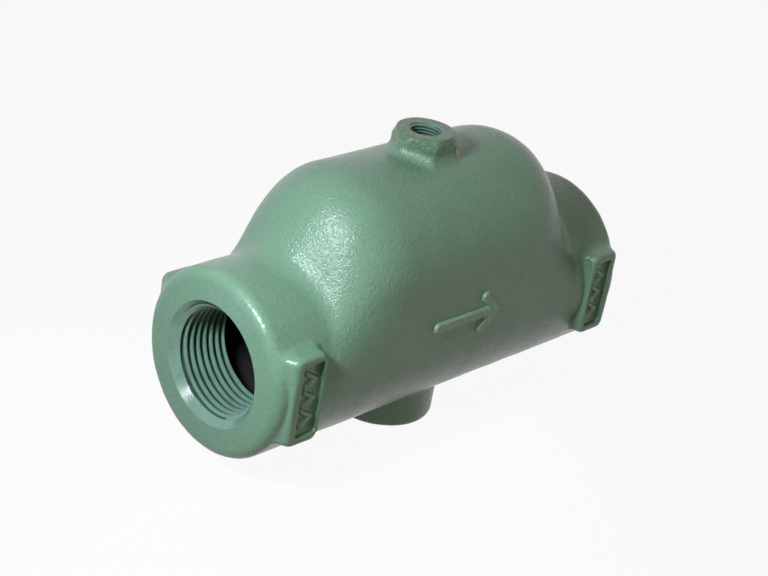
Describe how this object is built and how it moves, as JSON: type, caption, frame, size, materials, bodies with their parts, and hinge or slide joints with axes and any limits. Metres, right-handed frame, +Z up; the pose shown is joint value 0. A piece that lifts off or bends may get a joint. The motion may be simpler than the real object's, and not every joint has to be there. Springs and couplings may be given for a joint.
{
  "type": "air purger",
  "caption": "Domed cast-iron air purger with threaded pipe ports at both ends, a hexagonal vent boss on the dome, a round tank boss underneath and flow plates inside.",
  "frame": {"origin": "middle of the tank boss's lower face, on which the body stands", "axes": "+X along the pipe in the flow direction, +Z up towards the vent boss, +Y completes a right-handed frame"},
  "size_m": [0.1432, 0.0566, 0.0893],
  "materials": {
    "green_enamel_iron": "grey-green enamel over an as-cast surface",
    "plate_steel": "dull mill scale"
  },
  "bodies": {
    "root": {"body_casting": "green_enamel_iron", "inlet_weir": "plate_steel", "air_scoop": "plate_steel", "outlet_baffle": "plate_steel"}
  },
  "joints": []
}
